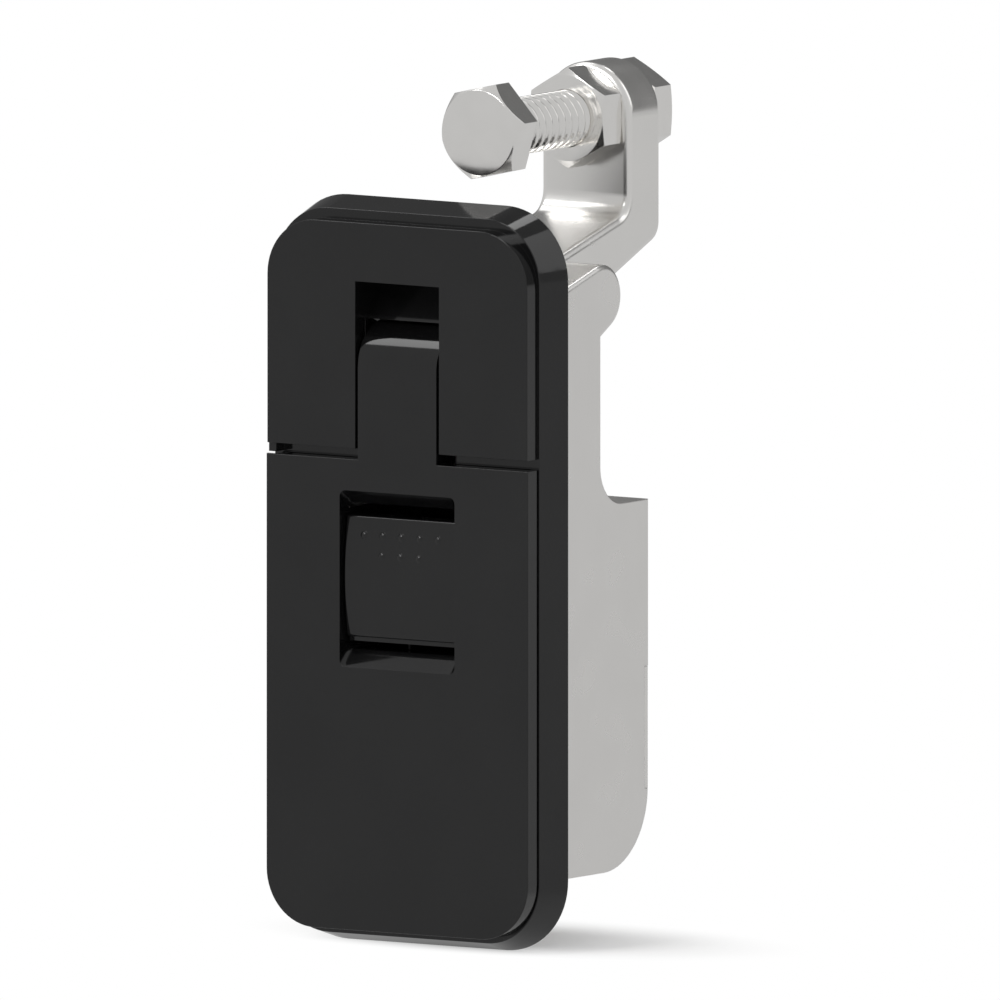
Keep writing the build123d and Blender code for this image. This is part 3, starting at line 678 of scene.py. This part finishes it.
@dataclass
class PushButton:
    """The push button with its grip domes, catch, link and spring."""

    coat: PowderCoat = PowderCoat("button_black", roughness=0.065, peel=Grain(2400.0, 2.0))
    catch: PlatedSteel = PlatedSteel(
        "catch_blackened",
        Lay.ALONG_Y,
        light=(0.035, 0.035, 0.037),
        dark=(0.020, 0.020, 0.021),
        bright=(0.10, 0.10, 0.10),
        roughness=0.3,
    )
    bar: PlatedSteel = PlatedSteel("link_plated", Lay.ALONG_Y, roughness=0.3)
    wire: PlatedSteel = PlatedSteel(
        "spring_wire",
        light=(0.02, 0.02, 0.02),
        dark=(0.01, 0.01, 0.01),
        bright=(0.03, 0.03, 0.03),
        roughness=0.4,
    )
    dome_rows: tuple[DomeRow, ...] = (
        DomeRow(5, 3.2 * MM, 0.267 * MM),
        DomeRow(3, 6.42 * MM, 0.0),
    )
    dome_pitch: float = 3.6 * MM
    dome_ball: float = 0.894 * MM  # radius of the balls that the domes are cut from
    dome_reach: float = math.radians(50.0)
    dome_rings: int = 10
    dome_tip: float = 0.2  # the first ring, as a share of the step between rings
    dome_steps: int = 36
    dome_sharp: float = math.radians(60.0)

    def domes(self) -> bpy.types.Object:
        """Build the two rows of grip domes, smooth, where the button has its own.

        Returns:
            The mesh object.
        """
        low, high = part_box("button")
        mesh = bmesh.new()
        profile = []
        for i in range(self.dome_rings + 1):
            angle = self.dome_reach * max(i, self.dome_tip) / self.dome_rings
            sag = self.dome_ball * (1.0 - math.cos(angle))
            profile.append((flat(self.dome_ball * math.sin(angle)), flat(sag)))
        for row in self.dome_rows:
            for i in range(row.count):
                x = (low.x + high.x) / 2.0 + (i - (row.count - 1) / 2.0) * self.dome_pitch
                tip = Vector((x, low.y + row.set_back, high.z - row.drop))
                turn_rings(mesh, profile, self.dome_steps, tip, 0.0)
        return finished("button_domes", mesh, self.dome_sharp)

    def dress(self) -> None:
        """Give the button, the catch, the link and the spring their finishes."""
        black = self.coat.material()
        dress(black, "button")
        adopt(self.domes(), "button", "button_black", black)
        dress(self.catch.material(), "catch_hook", "catch_screws")
        dress(self.bar.material(), "link")
        dress(self.wire.material(), "button_spring")


@dataclass
class BackBox:
    """The cast housing, its cover and screws."""

    wall: float = 2.3 * MM
    corner: float = 13.4 * MM
    hollow_steps: tuple[Span, ...] = (  # depth and top of each box in the hollow
        (35.4 * MM, 8.0 * MM),
        (21.3 * MM, 34.0 * MM),
        (14.0 * MM, 39.7 * MM),
        (7.5 * MM, 41.7 * MM),
    )
    cast: CastMetal = CastMetal("housing_cast")
    sheet: PlatedSteel = PlatedSteel("cover_sheet", Lay.ALONG_Z, roughness=0.26)
    screw: PlatedSteel = PlatedSteel("screw_plated", roughness=0.25)
    screw_turns: tuple[float, ...] = (0.3, 1.1, 0.7, 0.1)
    screw_steps: int = 72
    screw_sharp: float = math.radians(30.0)
    recess_arm: float = 1.15 * MM
    recess_half: float = 0.27 * MM
    recess_depth: float = 0.85 * MM
    recess_taper: float = 0.6
    shank: float = 1.25 * MM
    tip: float = 0.6 * MM
    cone: float = 1.05 * MM
    flush_head: float = 2.3 * MM
    pan_head: float = 2.1 * MM
    pan_rise: float = 1.0 * MM
    pan_round: float = 0.45 * MM
    mid_round: float = 0.3  # from the square corner to the middle of a round, in radii

    def hollows(self) -> list[Box]:
        """Fill the housing's hollow with boxes for its painted shade, from the deep foot to the
        shallow top.

        Returns:
            The boxes' lowest and highest corners.
        """
        low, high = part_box("housing")
        corner = Vector((low.x + self.wall, low.y, low.z + self.corner))
        right = high.x - self.wall
        return [(corner, Vector((right, depth, top))) for depth, top in self.hollow_steps]

    def recess(self, turn: float, inward: float) -> Profile:
        """Rings of the cross recess in a screw's head.

        Args:
            turn: angle of one arm, in radians.
            inward: 1 or -1, the way into the head along Y.

        Returns:
            The rings, from the recess's floor to the head's face.
        """
        taper = self.recess_taper
        floor = cross(taper * self.recess_arm, taper * self.recess_half, turn)
        rim = cross(self.recess_arm, self.recess_half, turn)
        return [(floor, flat(inward * self.recess_depth)), (rim, flat(0.0))]

    def screws(
        self, node: str, head: float, rings: Profile, face: float, inward: float
    ) -> bpy.types.Object:
        """Build four screws over a CAD node, one at each corner of its box.

        Args:
            node: the CAD node.
            head: radius of a head.
            rings: rings of a screw outside its recess.
            face: Y of the heads' face.
            inward: 1 or -1, the way into the head along Y.

        Returns:
            The mesh object.
        """
        low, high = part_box(node)
        mesh = bmesh.new()
        across = (low.x + head, high.x - head)
        places = [(x, z) for z in (low.z + head, high.z - head) for x in across]
        for (x, z), turn in zip(places, self.screw_turns):
            profile = [*self.recess(turn, inward), *rings]
            turn_rings(mesh, profile, self.screw_steps, Vector((x, face, z)), turn)
        return finished(f"{node}_recessed", mesh, self.screw_sharp)

    def flush_screws(self) -> bpy.types.Object:
        """Build the countersunk screws that hold the housing.

        Returns:
            The mesh object.
        """
        low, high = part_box("housing_screws")
        length = high.y - low.y
        rings = [
            (flat(self.flush_head), flat(0.0)),
            (flat(self.shank), flat(self.cone)),
            (flat(self.shank), flat(length - self.tip)),
            (flat(self.shank - self.tip), flat(length)),
        ]
        return self.screws("housing_screws", self.flush_head, rings, low.y, 1.0)

    def pan_screws(self) -> bpy.types.Object:
        """Build the pan-head screws that hold the cover.

        Returns:
            The mesh object.
        """
        low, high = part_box("cover_screws")
        length = high.y - low.y
        middle = self.mid_round * self.pan_round
        rings = [
            (flat(self.pan_head - self.pan_round), flat(0.0)),
            (flat(self.pan_head - middle), flat(-middle)),
            (flat(self.pan_head), flat(-self.pan_round)),
            (flat(self.pan_head), flat(-self.pan_rise)),
            (flat(self.shank), flat(-self.pan_rise)),
            (flat(self.shank), flat(self.tip - length)),
            (flat(self.shank - self.tip), flat(-length)),
        ]
        return self.screws("cover_screws", self.pan_head, rings, high.y, -1.0)

    def dress(self) -> None:
        """Give the housing, the cover and the screws their finishes."""
        dress(self.cast.material(self.hollows()), "housing")
        dress(self.sheet.material(), "back_cover")
        screw = self.screw.material()
        adopt(self.flush_screws(), "root", "screw_steel", screw, "housing_screws")
        adopt(self.pan_screws(), "root", "screw_steel", screw, "cover_screws")


@dataclass
class ClampArm:
    """The cranked arm."""

    cast: CastMetal = CastMetal(
        "arm_cast",
        light=(0.92, 0.908, 0.888),
        dark=(0.895, 0.883, 0.863),
        roughness=0.25,
        fine_depth=1.4 * MICRON,
    )

    def dress(self) -> None:
        """Give the arm its finish."""
        dress(self.cast.material(), "arm")


@dataclass
class BoltSet:
    """The adjusting bolt with its thread, and its two nuts."""

    pitch: float = 1.9 * MM
    thread_depth: float = 0.80 * MM
    run_out: float = 1.2 * MM
    crest: float = 4.7 * MM
    head: float = 5.4 * MM
    head_turn: float = math.radians(13.0)
    chamfer_inset: float = 0.15 * MM
    chamfer_slope: float = math.radians(52.0)
    face_centre: float = 0.5  # the face's first ring, as a share of its radius
    face_round: float = 0.14 * MM
    face_arc: tuple[Span, ...] = (  # rings of the face's round rim, out and back, in face_rounds
        (-1.0, 0.0),
        (-0.3, 0.12),
        (0.1, 0.5),
    )
    steps: int = 72
    rows_per_pitch: int = 12
    sharp: float = math.radians(38.0)
    steel: PlatedSteel = PlatedSteel("bolt_plated", roughness=0.16, line_depth=0.2 * MICRON)

    def thread_height(self, phase: float) -> float:
        """Height of the rolled thread over its root, from 0 to 1, at a phase from 0 to 1."""
        return 0.5 + 0.5 * math.cos(FULL_TURN * phase)

    def shank_radius(self, depth: float, end: float) -> Polar:
        """Radius of the threaded shank at one depth.

        Args:
            depth: distance from the head.
            end: length of the shank.

        Returns:
            The radius at an angle.
        """
        fade = min(1.0, depth / self.run_out, (end - depth) / self.run_out)

        def radius(angle: float) -> float:
            """Radius of the thread at an angle."""
            phase = (depth / self.pitch + angle / FULL_TURN) % 1.0
            return self.crest - self.thread_depth * (1.0 - fade * self.thread_height(phase))

        return radius

    def head_rings(self, half_flats: float) -> Profile:
        """Rings of the hexagon head, from the middle of its chamfered face to the shank.

        Args:
            half_flats: distance from the axis to a flat.

        Returns:
            The rings.
        """
        outline = hexagon(half_flats, self.head_turn)
        face = half_flats - self.chamfer_inset
        slope = math.tan(self.chamfer_slope)
        rim = self.face_arc[-1][1] * self.face_round
        arc = [
            (flat(face + out * self.face_round), flat(back * self.face_round))
            for out, back in self.face_arc
        ]
        return [
            (flat(self.face_centre * face), flat(0.0)),
            *arc,
            (outline, lambda angle: max(rim, (outline(angle) - face) * slope)),
            (outline, flat(self.head)),
            (flat(self.crest), flat(self.head)),
        ]

    def bolt(self) -> bpy.types.Object:
        """Build the bolt over its CAD node.

        Returns:
            The mesh object.
        """
        low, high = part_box("adjusting_bolt")
        nut_low, nut_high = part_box("front_nut")
        axis = Vector(((nut_low.x + nut_high.x) / 2.0, low.y, (nut_low.z + nut_high.z) / 2.0))
        profile = [*self.head_rings((nut_high.x - nut_low.x) / 2.0)]
        length = high.y - low.y - self.head
        rows = int(length / self.pitch * self.rows_per_pitch)
        for i in range(rows + 1):
            depth = length * i / rows
            profile.append((self.shank_radius(depth, length), flat(self.head + depth)))
        mesh = bmesh.new()
        turn_rings(mesh, profile, self.steps, axis, self.head_turn)
        return finished("threaded_bolt", mesh, self.sharp)

    def dress(self) -> None:
        """Build the threaded bolt and give the hardware its finish."""
        steel = self.steel.material()
        adopt(self.bolt(), "bolt", "bolt_steel", steel, "adjusting_bolt")
        dress(steel, "front_nut", "rear_nut")


# ---- studio ----------------------------------------------------------------------------
@dataclass(frozen=True)
class Softbox:
    """A soft rectangular lamp that faces the latch."""

    name: str
    toward: Triple
    distance: float
    width: float
    height: float
    radiance: float

    def place(self) -> None:
        """Put the lamp in the scene, out of the camera's sight."""
        data = bpy.data.lights.new(self.name, "AREA")
        data.shape = "RECTANGLE"
        data.size = self.width
        data.size_y = self.height
        data.energy = math.pi * self.width * self.height * self.radiance
        lamp = bpy.data.objects.new(self.name, data)
        away = Vector(self.toward).normalized()
        lamp.location = away * self.distance
        lamp.rotation_euler = (-away).to_track_quat("-Z", "Y").to_euler()
        lamp.visible_camera = False
        bpy.context.scene.collection.objects.link(lamp)
        log.info("lamp %s set", self.name)


SOFTBOXES = (
    Softbox("overhead_left", (-0.55, 0.20, 0.81), 1.1, 0.48, 0.48, 0.85),
    Softbox("tall_right", (0.66, 0.47, 0.56), 1.2, 0.50, 1.00, 0.90),
    Softbox("strip_top", (-0.04, 0.52, 0.85), 1.2, 0.22, 0.34, 2.6),
    Softbox("key", (-0.55, -0.33, 0.77), 1.2, 0.30, 0.30, 3.5),
    Softbox("dome_spark", (-0.180, -0.744, 0.637), 1.2, 0.42, 0.42, 6.0),
)


@dataclass
class Studio:
    """Pale floor, soft light and the camera."""

    azimuth: float = math.radians(33.7)
    elevation: float = math.radians(6.3)
    frame_width: float = 162.6 * MM
    aim_right: float = 11.79 * MM
    aim_up: float = 11.72 * MM
    camera_distance: float = 0.6
    camera_reach: float = 20.0
    floor_half: float = 3.0
    floor_colour: Colour = (0.93, 0.93, 0.93)
    floor_roughness: float = 0.9
    floor_mirrored: float = 0.56  # the white floor's brightness in the metal
    shadow_ends: Span = (6.0 * MM, 22.0 * MM)
    shadow_scale: Triple = (0.40, 0.80, 0.0)
    shadow_shift: Triple = (-3.0 * MM, -14.0 * MM, 0.0)
    plain_light: float = 0.78
    horizon: Span = (-0.01, 0.03)
    room: tuple[Span, ...] = (  # brightness that the metal mirrors, from front (0) to back (1)
        (0.00, 0.56),
        (0.35, 0.56),
        (0.55, 0.62),
        (0.66, 0.55),
        (0.79, 0.19),
        (0.88, 0.15),
        (1.00, 0.13),
    )

    def camera(self) -> None:
        """Set an orthographic camera at the view's angle."""
        az, el = self.azimuth, self.elevation
        level = math.cos(el)
        right = Vector((math.cos(az), math.sin(az), 0.0))
        ahead = Vector((-math.sin(az) * level, math.cos(az) * level, -math.sin(el)))
        up = right.cross(ahead)
        data = bpy.data.cameras.new("camera")
        data.type = "ORTHO"
        data.ortho_scale = self.frame_width
        data.clip_end = self.camera_reach
        camera = bpy.data.objects.new("camera", data)
        aim = right * self.aim_right + up * self.aim_up
        camera.location = aim - ahead * self.camera_distance
        camera.rotation_euler = ahead.to_track_quat("-Z", "Y").to_euler()
        bpy.context.scene.collection.objects.link(camera)
        bpy.context.scene.camera = camera
        log.info("camera set")

    def floor_finish(self) -> bpy.types.Material:
        """Build the floor's material: it glows in the view and the metal, but for the shadow.

        Returns:
            The material.
        """
        g = Graph("floor_white")
        g.shader.inputs["Base Color"].default_value = (*self.floor_colour, 1.0)
        g.shader.inputs["Roughness"].default_value = self.floor_roughness
        g.shader.inputs["Specular IOR Level"].default_value = 0.0
        drawn = g.node("Mapping")
        drawn.inputs["Scale"].default_value = self.shadow_scale
        drawn.inputs["Location"].default_value = self.shadow_shift
        g.link(g.place(), drawn.inputs["Vector"])
        away = g.node("VectorMath", operation="LENGTH")
        g.link(drawn.outputs["Vector"], away.inputs[0])
        fade = g.mapped(away.outputs["Value"], self.shadow_ends, (0.0, 1.0), True)
        rays = g.node("LightPath")
        glossy = rays.outputs["Is Glossy Ray"]
        seen = g.compute("MAXIMUM", rays.outputs["Is Camera Ray"], glossy)
        glow = g.node("Emission")
        strength = g.mapped(glossy, (0.0, 1.0), (1.0, self.floor_mirrored))
        g.link(strength, glow.inputs["Strength"])
        share = g.compute("MULTIPLY", fade, seen)
        mixed = g.either(share, g.shader.outputs["BSDF"], glow.outputs["Emission"])
        g.link(mixed, g.output.inputs["Surface"])
        g.material.cycles.emission_sampling = "NONE"  # the glow is seen and lights nothing
        return g.material

    def floor(self) -> None:
        """Lay the floor under the lowest point."""
        level = CAD_BOX[0][2]
        half = self.floor_half
        data = bpy.data.meshes.new("floor")
        signs = ((-1, -1), (1, -1), (1, 1), (-1, 1))
        data.from_pydata([(half * x, half * y, level) for x, y in signs], [], [(0, 1, 2, 3)])
        data.materials.append(self.floor_finish())
        floor = bpy.data.objects.new("floor", data)
        bpy.context.scene.collection.objects.link(floor)
        log.info("floor laid")

    def world(self) -> None:
        """Give the view a white backdrop, the metal a room to mirror, and the rest plain light."""
        world = bpy.data.worlds.new("studio")
        bpy.context.scene.world = world
        world.use_nodes = True
        g = NodeTree(world.node_tree)
        toward = g.node("SeparateXYZ")
        g.link(g.node("TexCoord").outputs["Generated"], toward.inputs["Vector"])
        ramp = g.node("ValToRGB")
        stops = ramp.color_ramp.elements
        for place, _ in self.room[1:-1]:
            stops.new(place)
        for stop, (_, level) in zip(stops, self.room):
            stop.color = (level, level, level, 1.0)
        g.link(g.mapped(toward.outputs["Y"], (-1.0, 1.0), (0.0, 1.0)), ramp.inputs["Fac"])
        above = g.mapped(toward.outputs["Z"], self.horizon, (0.0, 1.0))
        below = g.compute("MULTIPLY", g.compute("SUBTRACT", 1.0, above), self.floor_mirrored)
        level = g.compute("ADD", g.compute("MULTIPLY", above, ramp.outputs["Color"]), below)
        room, plain, white = (g.node("Background") for _ in range(3))
        for source in (room, plain, white):
            source.inputs["Color"].default_value = (1.0, 1.0, 1.0, 1.0)
        g.link(level, room.inputs["Strength"])
        plain.inputs["Strength"].default_value = self.plain_light
        rays = g.node("LightPath")
        glossy = rays.outputs["Is Glossy Ray"]
        lit = g.either(glossy, plain.outputs["Background"], room.outputs["Background"])
        seen = g.either(rays.outputs["Is Camera Ray"], lit, white.outputs["Background"])
        g.link(seen, g.node("OutputWorld").inputs["Surface"])
        log.info("world set")

    def build(self) -> None:
        """Set the whole studio up."""
        bpy.context.scene.view_settings.view_transform = "Standard"
        self.camera()
        self.world()
        self.floor()
        for box in SOFTBOXES:
            box.place()


def main() -> None:
    """Build the studio and dress the latch, front to back."""
    logging.basicConfig(level=logging.INFO, format="%(name)s: %(message)s")
    Studio().build()
    for part in (FrontPlate(), PullLever(), PushButton(), BackBox(), ClampArm(), BoltSet()):
        part.dress()
        log.info("%s done", type(part).__name__)


if __name__ == "__main__":
    main()
